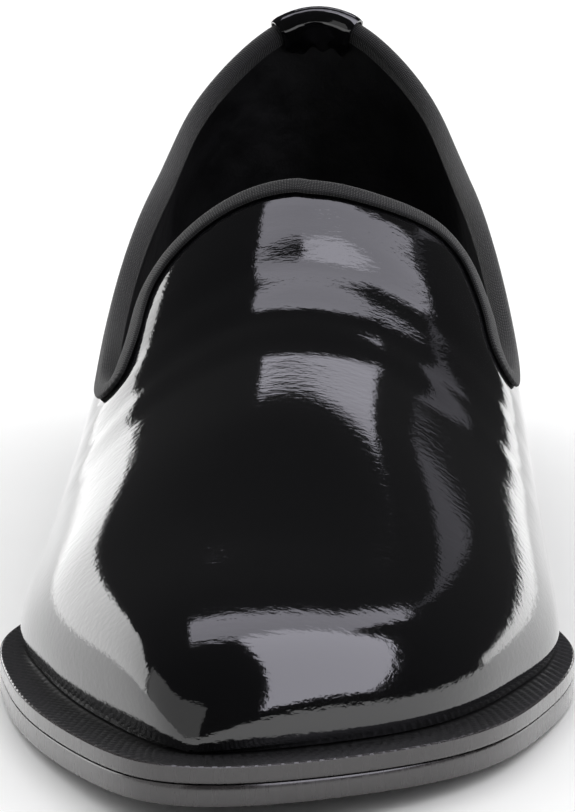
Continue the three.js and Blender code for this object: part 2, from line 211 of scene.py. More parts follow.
def sole_bottom(y):
    """Underside of the outsole: flat at the ball, sprung at the toe, arched up to the heel."""
    y = np.asarray(y, float)
    toe = TOE_SPRING * ((FLAT_FRONT - y) / (SOLE_LENGTH / 2 + FLAT_FRONT)) ** 2
    q = np.clip((y - FLAT_BACK) / ARCH, 0, 1)
    seat = np.maximum(y - FLAT_BACK - ARCH, 0) / (SOLE_LENGTH / 2 - FLAT_BACK - ARCH)
    back = (HEEL_HEIGHT - SEAT_RISE) * q * q * (3 - 2 * q) + SEAT_RISE * seat ** 2
    return np.where(y < FLAT_FRONT, toe, back)


def welt_bottom(y):
    return sole_bottom(y) + OUTSOLE_THICKNESS + GAP


def upper_bottom(y):
    return welt_bottom(y) + WELT_THICKNESS + GAP


def station(turn):
    return LAST_LENGTH * (1 - np.cos(turn)) / 2


def turn_at(s):
    return np.arccos(1 - 2 * s / LAST_LENGTH)


def across_at(s):
    """Direction across the centre line in plan."""
    step = 0.5
    slope = (mid_at(s + step) - mid_at(s - step)) / (2 * step)
    length = np.sqrt(1 + slope ** 2)
    return 1 / length, slope / length


def wrapped(turn, v):
    """Past either end of the last the surface goes on down its other side."""
    turn, v = np.broadcast_arrays(np.asarray(turn, float), np.asarray(v, float))
    past = (turn < 0) | (turn > np.pi)
    v = np.where(past, -v, v)
    return np.where(turn > np.pi, 2 * np.pi - turn, np.abs(turn)), v


def last_point(turn, v):
    """Points on the last in millimetres, in its own frame."""
    turn, v = wrapped(turn, v)
    s = station(turn)
    side = np.where(v < 0, -1.0, 1.0)
    u = np.abs(v)
    t = 1 - u
    half = np.where(v > 0, outer_at(s), inner_at(s)) * plan_round(s)
    belly = half + bulge_at(s) * plan_round(s)
    shoulder = shoulder_at(s) * plan_round(s)
    ridge = ridge_at(s) * rounding(LAST_LENGTH - s, TOE_ROUND_SIDE)
    reach = u ** 3 * half + 3 * u * u * t * belly + 3 * u * t * t * shoulder
    height = ridge * (3 * u * u * t * rise_at(s) + 3 * u * t * t + t ** 3)
    share = height / BACK_HEIGHT
    back = np.maximum(1 - s / BACK_REACH, 0) ** 2
    swell = BACK_SWELL * 4 * share * np.maximum(1 - share, 0) - BACK_LEAN * share ** 2
    across_x, across_y = across_at(s)
    x = mid_at(s) + side * across_x * reach
    y = HEEL_END - s + side * across_y * reach
    return np.stack([x, y + back * swell, upper_bottom(y) + height], -1)


def unit(vectors):
    return vectors / np.maximum(np.linalg.norm(vectors, axis=-1, keepdims=True), 1e-12)


def travelled(points):
    """Distance along a line of points, up to each of them."""
    return np.concatenate([[0], np.cumsum(np.linalg.norm(np.diff(points, axis=0), axis=1))])


def tangents(turn, v):
    """Directions in which the surface runs as turn and v grow, not of unit length."""
    step = TINY_TURN
    turn = np.minimum(turn, np.pi - 2 * step)
    forward = (last_point(turn + step, v) - last_point(turn - step, v)) / (2 * step)
    sideways = (last_point(turn, v + step) - last_point(turn, v - step)) / (2 * step)
    return forward, sideways


def surface_normal(turn, v):
    """Outward unit normal of the last."""
    forward, sideways = tangents(turn, v)
    return unit(np.cross(forward, sideways))


def edge_point(turn, side, reach):
    """Plan point a reach outside the last's lower edge, on the side -1 inner or 1 outer."""
    step = TINY_TURN

    def plan(angle):
        angle, flipped = wrapped(angle, float(side))
        s = station(angle)
        across_x, across_y = across_at(s)
        half = np.where(flipped > 0, outer_at(s), inner_at(s)) * plan_round(s) * flipped
        return np.stack([mid_at(s) + across_x * half, HEEL_END - s + across_y * half], -1)

    along = unit(plan(turn + step) - plan(turn - step))
    out = np.stack([-along[..., 1], along[..., 0]], -1) * side
    return plan(turn) + out * np.asarray(reach)[..., None]


# The solids stand with the middle of their box over the origin.
OUTLINE_TURNS = np.linspace(0, np.pi, 35)
_edges = np.concatenate([edge_point(OUTLINE_TURNS, k, reach_at(station(OUTLINE_TURNS))) for k in (-1, 1)])
_outsole_low, _outsole_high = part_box("outsole")
SHIFT = np.array([
    (_outsole_low.x + _outsole_high.x) / 2 / MM - (_edges[:, 0].min() + _edges[:, 0].max()) / 2,
    (_outsole_low.y + _outsole_high.y) / 2 / MM - (_edges[:, 1].min() + _edges[:, 1].max()) / 2,
    0.0,
])


def to_metres(points):
    """From the last's own millimetres to the frame of the solids."""
    return (np.asarray(points) + SHIFT) * MM


# The collar: its edge seen from either side, and the closed line that it makes on the last
COLLAR_STEPS = 12


def collar_profile(side):
    """Edge of the opening as (y, z) points, for the inner or the outer side."""
    along = column(COLLAR_TABLE, COLLAR_COLUMNS, side + "_along")
    height = column(COLLAR_TABLE, COLLAR_COLUMNS, side + "_height")
    y = HEEL_END - along * LAST_LENGTH
    z = upper_bottom(y) + height * BACK_HEIGHT
    travel = np.concatenate([[0], np.cumsum(np.hypot(np.diff(y), np.diff(z)))])
    rows = np.linspace(0, len(y) - 1, (len(y) - 1) * COLLAR_STEPS + 1)
    at = np.interp(rows, np.arange(len(y)), travel)
    return np.stack([natural_spline(travel, y)(at), natural_spline(travel, z)(at)], -1)


def inside_loop(points, loop):
    """Which points lie inside a closed loop, by counting the sides to their right."""
    x, y = points[..., 0], points[..., 1]
    inside = np.zeros(x.shape, bool)
    for (ax, ay), (bx, by) in zip(loop, np.roll(loop, -1, 0)):
        if ay == by:
            continue
        crosses = ((ay > y) != (by > y)) & (x < (bx - ax) * (y - ay) / (by - ay) + ax)
        inside ^= crosses
    return inside


def line_distance(points, line):
    """Shortest distance of each point to an open line of points."""
    best = np.full(points.shape[:-1], np.inf)
    for a, b in zip(line[:-1], line[1:]):
        along = b - a
        share = np.clip(((points - a) @ along) / (along @ along), 0, 1)
        best = np.minimum(best, np.linalg.norm(points - a - share[..., None] * along, axis=-1))
    return best


def leather_depth(turn, v):
    """Millimetres from the collar's edge, seen from the side: positive where there is leather."""
    points = last_point(turn, v)[..., 1:]
    depth = np.empty(points.shape[:-1])
    for side, here in (("inner", v < 0), ("outer", v >= 0)):
        line = collar_profile(side)
        loop = np.vstack([line, [[line[0, 0], line[-1, 1]]]])
        away = line_distance(points[here], line)
        depth[here] = np.where(inside_loop(points[here], loop), -away, away)
    return depth


# Meshes
SHARP_DEGREES = 40.0
WELD_DISTANCE = 1e-4


def make_object(name, points, faces, material, corner_uv=None):
    """A smooth-shaded object from points in the last's millimetres, with its normals outward."""
    mesh = bpy.data.meshes.new(name)
    mesh.from_pydata(to_metres(points).tolist(), [], faces)
    if corner_uv is not None:
        layer = mesh.uv_layers.new(name="ribbon")
        layer.data.foreach_set("uv", np.asarray(corner_uv, np.float32).ravel())
    mesh.polygons.foreach_set("use_smooth", [True] * len(mesh.polygons))
    mesh.set_sharp_from_angle(angle=math.radians(SHARP_DEGREES))
    mesh.materials.append(material)
    obj = bpy.data.objects.new(name, mesh)
    bpy.context.scene.collection.objects.link(obj)
    return obj


def welded(points, faces):
    """Joins equal points, and drops the corners and faces that this leaves empty."""
    keys = np.round(points / WELD_DISTANCE).astype(np.int64)
    _, first, index = np.unique(keys, axis=0, return_index=True, return_inverse=True)
    index = index.ravel()
    kept = []
    for face in faces:
        ids = [int(index[k]) for k in face]
        ids = [a for a, b in zip(ids, ids[-1:] + ids[:-1]) if a != b]
        if len(set(ids)) > 2:
            kept.append(ids)
    return points[first], kept


def grid_cells(rows, cols, loop_rows=False, loop_cols=False):
    """Row and column of the four corners of each cell of a grid, unwrapped at its seams."""
    i, j = np.meshgrid(np.arange(rows - (not loop_rows)), np.arange(cols - (not loop_cols)), indexing="ij")
    i, j = i.ravel(), j.ravel()
    return np.stack([i, i + 1, i + 1, i], -1), np.stack([j, j, j + 1, j + 1], -1)


def ring_object(name, points, material, uv=None):
    """A closed tube: points[i, j] goes along with i and round the section with j."""
    rows, cols = points.shape[:2]
    i, j = grid_cells(rows, cols, True, True)
    faces = ((i % rows) * cols + j % cols).tolist()
    corner_uv = None if uv is None else uv[i, j]
    return make_object(name, points.reshape(-1, 3), faces, material, corner_uv)


def sheet_object(name, top, bottom, material):
    """A closed sheet between two grids of points with the same rows and columns."""
    rows, cols = top.shape[:2]
    points = np.concatenate([top.reshape(-1, 3), bottom.reshape(-1, 3)])
    i, j = grid_cells(rows, cols)
    upper_faces = i * cols + j
    lower_faces = upper_faces[:, ::-1] + rows * cols
    rim = [(r, 0) for r in range(rows)] + [(rows - 1, c) for c in range(1, cols)]
    rim += [(r, cols - 1) for r in range(rows - 2, -1, -1)] + [(0, c) for c in range(cols - 2, 0, -1)]
    rim = [r * cols + c for r, c in rim]
    sides = [(b, a, a + rows * cols, b + rows * cols) for a, b in zip(rim, rim[1:] + rim[:1])]
    return make_object(name, points, upper_faces.tolist() + lower_faces.tolist() + sides, material)


def cut_cells(keep):
    """Cuts the cells of the grid over the last along keep = 0, on the side where it is positive.
    Returns the faces, and for each of their points the two grid points and the share between."""
    rows, cols = keep.shape
    weld = np.arange(rows * cols).reshape(rows, cols)
    middle = cols // 2
    weld[0, middle + 1:] = weld[0, :middle][::-1]
    weld[-1, :] = weld[-1, 0]
    corners, faces, made = [], [], {}

    def point(key, a, b, share):
        if key not in made:
            made[key] = len(corners)
            corners.append((a, b, share))
        return made[key]

    flat_keep, flat_weld = keep.ravel(), weld.ravel()
    for i in range(rows - 1):
        row_keep = keep[i:i + 2]
        for j in range(cols - 1):
            if row_keep[:, j:j + 2].max() <= 0:
                continue
            ids = (i * cols + j, (i + 1) * cols + j, (i + 1) * cols + j + 1, i * cols + j + 1)
            face = []
            for a, b in zip(ids, ids[1:] + ids[:1]):
                if flat_keep[a] > 0:
                    face.append(point(int(flat_weld[a]), a, a, 0.0))
                if (flat_keep[a] > 0) != (flat_keep[b] > 0):
                    share = flat_keep[a] / (flat_keep[a] - flat_keep[b])
                    key = tuple(sorted((int(flat_weld[a]), int(flat_weld[b]))))
                    face.append(point(key, a, b, share))
            face = [a for a, b in zip(face, face[-1:] + face[:-1]) if a != b]
            if len(set(face)) > 2:
                faces.append(face)
    return faces, corners


def at_corners(values, corners):
    """Values of a grid at the points that cut_cells made."""
    flat = values.reshape(-1, *values.shape[2:])
    a, b, share = (np.array(x) for x in zip(*corners))
    share = share.reshape(-1, *[1] * (flat.ndim - 1))
    return flat[a] * (1 - share) + flat[b] * share


def open_edges(faces):
    """Directed edges that only one face has."""
    edges = {(a, b) for face in faces for a, b in zip(face, face[1:] + face[:1])}
    return [(a, b) for a, b in edges if (b, a) not in edges]


def shell_object(name, faces, corners, outside, inside, material):
    """A closed shell between two grids over the last, with the cut cells of cut_cells."""
    points = np.concatenate([at_corners(outside, corners), at_corners(inside, corners)])
    count = len(corners)
    back = [[k + count for k in reversed(face)] for face in faces]
    rims = [[b, a, a + count, b + count] for a, b in sorted(open_edges(faces))]
    return make_object(name, points, faces + back + rims, material)


# The grid over the last that the upper and the lining share
GRID_ROWS = 300
GRID_SIDE = 80
GRID_TURN, GRID_V = np.broadcast_arrays(
    np.linspace(0, np.pi, GRID_ROWS + 1)[:, None], np.linspace(-1, 1, 2 * GRID_SIDE + 1)[None, :])
GRID_POINT = last_point(GRID_TURN, GRID_V)
GRID_NORMAL = surface_normal(GRID_TURN, GRID_V)
GRID_DEPTH = leather_depth(GRID_TURN, GRID_V)
GRID_S = station(GRID_TURN)
CELL_FACES, CELL_CORNERS = cut_cells(GRID_DEPTH)


def collar_line(spacing):
    """The collar's closed edge as turn and v, evenly spaced, from the back seam round the outer
    side and the throat. Its two ends are the same point of the back seam."""
    cut = [k for k, (a, b, _) in enumerate(CELL_CORNERS) if a != b]
    is_cut = set(cut)
    onward = {a: b for a, b in open_edges(CELL_FACES) if a in is_cut and b in is_cut}
    turn = at_corners(GRID_TURN, CELL_CORNERS)
    v = at_corners(GRID_V, CELL_CORNERS)
    seam = min(cut, key=lambda k: turn[k])
    chain = [onward[seam]]
    while chain[-1] != seam:
        chain.append(onward[chain[-1]])
    chain = np.array(chain[:-1])
    turn, v = turn[chain], v[chain]
    if v[0] < 0:
        turn, v = turn[::-1], v[::-1]
    high = (v[0] - v[-1]) / 2
    turn, v = np.concatenate([[0], turn, [0]]), np.concatenate([[high], v, [-high]])
    points = last_point(turn, v)
    travel = travelled(points)
    count = int(round(travel[-1] / spacing))
    at = np.linspace(0, travel[-1], count + 1)
    turn, v = np.interp(at, travel, turn), np.interp(at, travel, v)
    reach = 6
    weights = hump(np.arange(-reach, reach + 1), reach / 3)
    weights /= weights.sum()
    turn = np.concatenate([-turn[-1 - reach:-1], turn, -turn[1:reach + 1]])
    v = np.concatenate([-v[-1 - reach:-1], v, -v[1:reach + 1]])
    return np.convolve(turn, weights, "valid"), np.convolve(v, weights, "valid"), at


def creep(turn, v, direction, distance):
    """Moves points over the last by a distance along a direction."""
    forward, sideways = tangents(turn, v)
    pairs = ((forward, forward), (forward, sideways), (sideways, sideways))
    ff, fs, ss = ((a * b).sum(-1) for a, b in pairs)
    fd, sd = (forward * direction).sum(-1), (sideways * direction).sum(-1)
    size = ff * ss - fs * fs
    return turn + distance * (ss * fd - fs * sd) / size, v + distance * (ff * sd - fs * fd) / size


def collar_fold(turn, v, section):
    """Places a section folded over the collar's edge at each of its points. The section is (w, h)
    rows: w is the distance down the leather, negative above its edge, and h is the height over
    the middle of the wall, outward positive."""
    section = np.asarray(section, float)
    if section.ndim == 2:
        section = np.broadcast_to(section, (len(turn), *section.shape))
    deepest = int(math.ceil(section[..., 0].max()))
    points, normals = [last_point(turn, v)], [surface_normal(turn, v)]
    travel = np.gradient(points[0], axis=0)
    down = unit(np.cross(normals[0], travel))
    if leather_depth(*creep(turn, v, down, 1.0)).mean() < 0:
        down = -down
    here = (turn, v)
    heading = down
    for _ in range(deepest):
        here = creep(*here, heading, 1.0)
        points.append(last_point(*here))
        normals.append(surface_normal(*here))
        heading = unit(points[-1] - points[-2])
    points, normals = np.array(points), np.array(normals)
    w, h = section[..., 0], section[..., 1]
    low = np.clip(np.floor(w).astype(int), 0, deepest - 1)
    share = np.clip(w - low, 0, 1)[..., None]
    row = np.arange(len(turn))[:, None]
    base = points[low, row] * (1 - share) + points[low + 1, row] * share
    normal = unit(normals[low, row] * (1 - share) + normals[low + 1, row] * share)
    base = base + down[:, None, :] * np.minimum(w, 0)[..., None]
    return base + normal * (h - WALL / 2)[..., None]


# Finishes. A pattern's scale is given as the real size of its repeat in millimetres.
def srgb(code):
    """Linear colour of an sRGB hex value such as #1a1a1a."""
    parts = [int(code[k:k + 2], 16) / 255 for k in (1, 3, 5)]
    return tuple(c / 12.92 if c <= 0.04045 else ((c + 0.055) / 1.055) ** 2.4 for c in parts)


def repeats(size):
    """Noise scale in metres for a grain of that many millimetres."""
    return 1 / (size * MM)


def bands(size):
    """Wave scale for bands that many units apart: a wave at scale 1 has 20 radians to the unit."""
    return 2 * math.pi / (20 * size)


def add_node(tree, kind, inputs=None, **settings):
    """Adds a node, sets it up and gives its inputs their values or links."""
    node = tree.nodes.new(kind)
    for name, value in settings.items():
        setattr(node, name, value)
    for name, value in (inputs or {}).items():
        if isinstance(value, bpy.types.NodeSocket):
            tree.links.new(value, node.inputs[name])
        else:
            node.inputs[name].default_value = value
    return node


def new_material(name):
    material = bpy.data.materials.new(name)
    material.use_nodes = True
    tree = material.node_tree
    return material, tree, tree.nodes["Principled BSDF"]


def set_inputs(shader, **values):
    """Sets or links the shader's own sockets, named with underscores for spaces."""
    tree = shader.id_data
    for name, value in values.items():
        socket = shader.inputs[name.replace("_", " ")]
        if isinstance(value, bpy.types.NodeSocket):
            tree.links.new(value, socket)
        else:
            socket.default_value = (*value, 1.0) if isinstance(value, tuple) else value


def noise(tree, size, detail=3.0, stretch=(1, 1, 1), rough=0.5):
    """Fine noise over the object, its grain stretched along the axes."""
    where = add_node(tree, "ShaderNodeTexCoord").outputs["Object"]
    mapped = add_node(tree, "ShaderNodeMapping", {"Vector": where, "Scale": stretch})
    return add_node(tree, "ShaderNodeTexNoise", {
        "Vector": mapped.outputs["Vector"], "Scale": repeats(size), "Detail": detail, "Roughness": rough,
    }).outputs["Fac"]


def bump(tree, height, depth, normal=None):
    """Relief of a depth in millimetres."""
    inputs = {"Height": height, "Strength": 1.0, "Distance": depth * MM}
    if normal is not None:
        inputs["Normal"] = normal
    return add_node(tree, "ShaderNodeBump", inputs).outputs["Normal"]


def blended(tree, share, low, high):
    """A colour between two, by a share from 0 to 1."""
    mix = add_node(tree, "ShaderNodeMix", data_type="RGBA")
    tree.links.new(share, mix.inputs["Factor"])
    mix.inputs["A"].default_value = (*low, 1)
    mix.inputs["B"].default_value = (*high, 1)
    return mix.outputs["Result"]


def tinted(tree, share, low, setting):
    """A colour between a hex value and the one that is set for the shoe under that name."""
    return blended(tree, share, srgb(low), tuple(getattr(bpy.context.scene.shoe_colours, setting)))


def ranged(tree, value, low, high, start=0.3, end=0.7):
    """Maps a noise onto a range of values."""
    return add_node(tree, "ShaderNodeMapRange", {
        "Value": value, "From Min": start, "From Max": end, "To Min": low, "To Max": high,
    }).outputs["Result"]


def patent_leather():
    """Calf leather under poured lacquer: a mirror, broken by the faint grain that shows through."""
    material, tree, shader = new_material("patent leather, black lacquered")
    pull = noise(tree, 1.1, 3.0, (0.4, 1.0, 1.0))
    grain = noise(tree, 0.35, 2.0)
    broad = noise(tree, 9.0, 1.0)
    relief = bump(tree, broad, 0.03)
    relief = bump(tree, pull, 0.035, relief)
    relief = bump(tree, grain, 0.006, relief)
    set_inputs(
        shader, Base_Color=tinted(tree, broad, "#08080a", "lacquer"),
        Roughness=0.08, IOR=1.5, Coat_Weight=1.0, Coat_Roughness=0.02, Coat_IOR=1.5,
        Normal=relief, Coat_Normal=relief,
    )
    return material


def grosgrain_ribbon():
    """Woven ribbon with ribs across it: matt, with a painted highlight on each rib, speckled by fine fluff.
    """
    material, tree, shader = new_material("grosgrain ribbon, black woven rayon")
    spacing = bpy.context.scene.shoe_sizes.rib_spacing
    where = add_node(tree, "ShaderNodeUVMap", uv_map="ribbon").outputs["UV"]
    ribs = add_node(tree, "ShaderNodeTexWave", {
        "Vector": where, "Scale": bands(spacing), "Distortion": 1.5, "Detail": 2.0,
    }, wave_type="BANDS", bands_direction="X").outputs["Fac"]
    warp = add_node(tree, "ShaderNodeTexWave", {
        "Vector": where, "Scale": bands(spacing * 0.8), "Distortion": 2.0, "Detail": 2.0,
    }, wave_type="BANDS", bands_direction="Y").outputs["Fac"]
    fluff = noise(tree, 0.5, 3.0, rough=0.7)
    weave = add_node(tree, "ShaderNodeMath", {0: ribs, 1: warp}, operation="MULTIPLY").outputs[0]
    painted_rib_highlight_with_fluff = add_node(tree, "ShaderNodeMath", {0: weave, 1: fluff}, operation="MULTIPLY").outputs[0]
    relief = bump(tree, weave, 0.12)
    relief = bump(tree, fluff, 0.08, relief)
    # The ribs' crests are painted lighter than their hollows: a painted highlight on each rib, broken by the
    # fluff noise
    set_inputs(
        shader, Roughness=0.8, IOR=1.5, Specular_IOR_Level=0.35, Sheen_Weight=0.25, Sheen_Roughness=0.4,
        Base_Color=tinted(tree, ranged(tree, painted_rib_highlight_with_fluff, 0, 1, 0.0, 0.5), "#0c0c0d", "ribbon"),
        Normal=relief,
    )
    return material


def lining_leather():
    """Drummed kid lining, dyed black: smooth, half matt, with soft creases and painted shade in their
    hollows.
    """
    material, tree, shader = new_material("kid lining leather, black drummed")
    creases = noise(tree, 7.0, 4.0, (1.0, 0.6, 1.0))
    pores = noise(tree, 0.6, 2.0)
    relief = bump(tree, creases, 0.5)
    relief = bump(tree, pores, 0.03, relief)
    # The colour follows the creases: darker in their hollows, lighter on their crests, a painted shade in
    # the creases
    set_inputs(
        shader, Base_Color=tinted(tree, creases, "#141415", "lining"),
        Roughness=ranged(tree, creases, 0.42, 0.6), IOR=1.5, Specular_IOR_Level=0.4, Normal=relief,
    )
    return material


def edge_dressing():
    """Leather edge, trimmed, inked and waxed hot: satin, brushed up and down by the iron."""
    material, tree, shader = new_material("sole edge, inked and waxed leather")
    brushed = noise(tree, 1.6, 4.0, (1.0, 1.0, 0.12))
    fibre = noise(tree, 0.4, 2.0)
    relief = bump(tree, brushed, 0.03)
    relief = bump(tree, fibre, 0.01, relief)
    set_inputs(
        shader, Base_Color=tinted(tree, brushed, "#262324", "edge"),
        Roughness=ranged(tree, brushed, 0.2, 0.32), IOR=1.5, Coat_Weight=1.0, Coat_Roughness=0.15,
        Normal=relief,
    )
    return material


def welt_leather():
    """Welt, dyed and pressed by a hot wheel: dull, with a little shine where the wheel ran."""
    material, tree, shader = new_material("welt leather, dyed and wheeled")
    fibre = noise(tree, 0.7, 4.0, rough=0.65)
    relief = bump(tree, fibre, 0.08)
    set_inputs(
        shader, Base_Color=tinted(tree, fibre, "#0d0d0d", "welt"),
        Roughness=ranged(tree, fibre, 0.35, 0.62), IOR=1.5, Normal=relief,
    )
    return material


def heel_rubber():
    """Moulded heel rubber: matt, with a fine eggshell skin."""
    material, tree, shader = new_material("heel rubber, moulded black")
    skin = noise(tree, 0.8, 2.0)
    set_inputs(
        shader, Base_Color=tinted(tree, skin, "#131313", "rubber"),
        Roughness=ranged(tree, skin, 0.55, 0.75), IOR=1.52, Normal=bump(tree, skin, 0.05),
    )
    return material


FINISHES = {}


def finish(maker):
    """The maker's material, made when it is first needed."""
    if maker not in FINISHES:
        FINISHES[maker] = maker()
    return FINISHES[maker]


def keep_piece(piece, slot, *nodes):
    """The piece rides with the shoe and stands for the CAD nodes named."""
    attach(piece, BODY)
    if nodes:
        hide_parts(*nodes)


def length_setting(name, description, default):
    return bpy.props.FloatProperty(
        name=name, description=description + ", in millimetres", default=default)


def colour_setting(name, description, code):
    return bpy.props.FloatVectorProperty(
        name=name, description=description, subtype="COLOR", default=srgb(code))


class ShoeSizes(bpy.types.PropertyGroup):
    leather: length_setting("Leather", "Thickness of the outer leather", 1.2)
    ripple: length_setting("Ripples", "Height of the soft ripples across the vamp", 0.18)
    binding_band: length_setting("Binding band", "How far the ribbon comes down the leather", 3.0)
    binding_thickness: length_setting("Binding thickness", "Thickness of the folded ribbon", 0.8)
    rib_spacing: length_setting("Rib spacing", "Distance between the ribbon's ribs", 0.55)
    wheel_pitch: length_setting("Wheel pitch", "Distance between the marks of the welt's wheel", 2.4)


class ShoeColours(bpy.types.PropertyGroup):
    lacquer: colour_setting("Lacquer", "Black of the patent leather", "#0c0c0e")
    # The ribbon's lighter colour is a painted highlight on the crests of its ribs
    ribbon: colour_setting("Ribbon", "Lit ribs of the binding", "#2a2a2b")
    # This lighter lining colour lies on the crests of the creases, the darker one in their hollows: painted
    # shade in the creases
    lining: colour_setting("Lining", "Lining leather where it is worn smooth", "#1d1d1f")
    edge: colour_setting("Sole edge", "Ink on the sole's edge", "#3a3637")
    welt: colour_setting("Welt", "Dye on the welt's upper face", "#1e1e1e")
    rubber: colour_setting("Rubber", "Top piece of the heel", "#1c1c1c")


# Ripples across the vamp: distance from the heel end, height as a share of the ripple size,
# width along the shoe and how far the ripple swings forward at its sides, all in millimetres.
RIPPLE_TABLE = (
    (152.0, 0.8, 3.0, 2.0),
    (159.0, -0.9, 2.6, 3.0),
    (165.0, 0.7, 2.4, 2.0),
    (171.0, -0.8, 2.8, 4.0),
    (177.0, 0.9, 3.0, 3.0),
    (184.0, -0.7, 3.4, 4.0),
)
# How deep the leather is pressed in under the binding and at its lower edge, in millimetres
BINDING_PRESS = 0.35
EDGE_PRESS = 0.8


def leather_relief(sizes):
    """Height of the upper's relief over the grid, in millimetres."""
    relief = np.zeros(GRID_S.shape)
    width = GRID_POINT[..., 0] - mid_at(GRID_S)
    on_top = hump(GRID_V, 0.55)
    for s, height, broad, swing in RIPPLE_TABLE:
        line = s + swing * (width / 30) ** 2
        relief += sizes.ripple * height * hump(GRID_S - line, broad) * on_top
    relief -= BINDING_PRESS * (1 - smooth_step(np.maximum(GRID_DEPTH, 0) / 6))
    relief -= EDGE_PRESS * (1 - smooth_step((1 - np.abs(GRID_V)) / 0.05))
    return relief


class SHOE_OT_upper(bpy.types.Operator):
    """Make the patent leather upper with its soft ripples"""
    bl_idname = "shoe.upper"
    bl_label = "Upper"

    def execute(self, context):
        sizes = context.scene.shoe_sizes
        outside = GRID_POINT + GRID_NORMAL * leather_relief(sizes)[..., None]
        inside = GRID_POINT - GRID_NORMAL * sizes.leather
        upper = shell_object(
            "upper_leather", CELL_FACES, CELL_CORNERS, outside, inside, finish(patent_leather))
        keep_piece(upper, "patent_leather", "upper")
        return {"FINISHED"}


class SHOE_OT_lining(bpy.types.Operator):
    """Make the lining, a second skin inside the upper"""
    bl_idname = "shoe.lining"
    bl_label = "Lining"

    def execute(self, context):
        sizes = context.scene.shoe_sizes
        outside = GRID_POINT - GRID_NORMAL * (sizes.leather + 0.05)
        inside = GRID_POINT - GRID_NORMAL * WALL
        lining = shell_object(
            "lining", CELL_FACES, CELL_CORNERS, outside, inside, finish(lining_leather))
        keep_piece(lining, "lining_leather")
        return {"FINISHED"}


def binding_section(band, thickness):
    """The ribbon's section: outer leg, fold over the edge, inner leg, and back underneath."""
    face = WALL / 2 + 0.1
    top = face + thickness
    leg = [(band, face + 0.02), (band + 0.08, face + 0.3 * thickness), (band + 0.02, face + 0.7 * thickness),
           (band - 0.2, face + 0.93 * thickness), (band - 0.6, top), (band * 0.5, top + 0.03), (0.6, top)]
    fold = []
    for k in range(1, 12):
        angle = math.pi * k / 12
        fold.append((0.3 - (0.3 + thickness + 0.3) * math.sin(angle), top * math.cos(angle)))
    under = [(band * 0.6, -face), (0.1, -face), (-0.15, -face * 0.8),
             (-0.15, face * 0.8), (0.1, face), (band * 0.6, face)]
    return leg + fold + [(w, -h) for w, h in reversed(leg)] + under


class SHOE_OT_binding(bpy.types.Operator):
    """Make the ribbon that is folded over the collar's edge"""
    bl_idname = "shoe.binding"
    bl_label = "Collar binding"

    def execute(self, context):
        sizes = context.scene.shoe_sizes
        turn, v, travel = collar_line(spacing=0.6)
        section = binding_section(sizes.binding_band, sizes.binding_thickness)
        points = collar_fold(turn, v, section)[:-1]
        around = travelled(section)
        around = np.append(around, around[-1] + 1)
        uv = np.stack(np.meshgrid(travel, around, indexing="ij"), -1)
        binding = ring_object("collar_ribbon", points, finish(grosgrain_ribbon), uv)
        keep_piece(binding, "grosgrain", "collar_binding")
        return {"FINISHED"}


TAB_WIDTH = 20.0
TAB_OUTSIDE = 16.0
TAB_INSIDE = 8.0
TAB_THICKNESS = 1.1
TAB_CORNER = 3.0
TAB_WAVE = 0.7
# The tab lies flat on the leather from TAB_FLARE on, and rises over the binding above it
TAB_FLARE = 2.5
TAB_FLARE_LENGTH = 4.0
TAB_RISE = 1.6


def tab_path(outside, inside):
    """Middle line of the tab's section: up the outside, over the binding and down the inside."""
    proud, flat = WALL / 2 + TAB_RISE, WALL / 2 + TAB_THICKNESS / 2 + 0.05

    def height(w):
        return flat + (proud - flat) * (1 - smooth_step((w - TAB_FLARE) / TAB_FLARE_LENGTH))

    up = [(w, height(w)) for w in np.linspace(outside, 1.0, 15)]
    fold = [(0.6 - 2.6 * math.sin(a), proud * math.cos(a)) for a in np.linspace(0.25, math.pi - 0.25, 9)]
    down = [(w, -height(w)) for w in np.linspace(1.0, inside, 9)]
    return np.array(up + fold + down, float)


class SHOE_OT_heel_tab(bpy.types.Operator):
    """Make the leather tab folded over the binding at the back"""
    bl_idname = "shoe.heel_tab"
    bl_label = "Heel tab"

    def execute(self, context):
        turn, v, travel = collar_line(spacing=0.5)
        total = travel[-1]
        half = TAB_WIDTH / 2
        across = np.linspace(-half, half, 33)
        place = np.where(across < 0, across + total, across)
        order = np.argsort(travel)
        side = np.where(across < 0, -1, 1)
        at_turn = np.interp(place, travel[order], turn[order]) * side
        at_v = np.interp(place, travel[order], v[order]) * side
        share = np.abs(across) / half
        outside = TAB_OUTSIDE - TAB_CORNER * smooth_step((share - 0.75) / 0.25) ** 2
        wavy = TAB_INSIDE - 1.0 + TAB_WAVE * np.sin(across * 0.9)
        inside = wavy - 2.0 * smooth_step((share - 0.8) / 0.2) ** 2
        path = np.stack([tab_path(a, b) for a, b in zip(outside, inside)])
        slope = unit(np.gradient(path, axis=1))
        out = np.stack([-slope[..., 1], slope[..., 0]], -1)
        rows = path.shape[1]
        end = np.minimum(np.arange(rows), np.arange(rows)[::-1])
        pillow = np.minimum(1, 0.35 + 0.4 * end)[None, :, None]
        pillow = pillow * np.sqrt(1 - 0.85 * share ** 8)[:, None, None]
        thick = TAB_THICKNESS / 2 * pillow
        top = collar_fold(at_turn, at_v, path - out * thick)
        bottom = collar_fold(at_turn, at_v, path + out * thick)
        tab = sheet_object("heel_tab_leather", top, bottom, finish(patent_leather))
        keep_piece(tab, "patent_leather", "heel_tab")
        return {"FINISHED"}


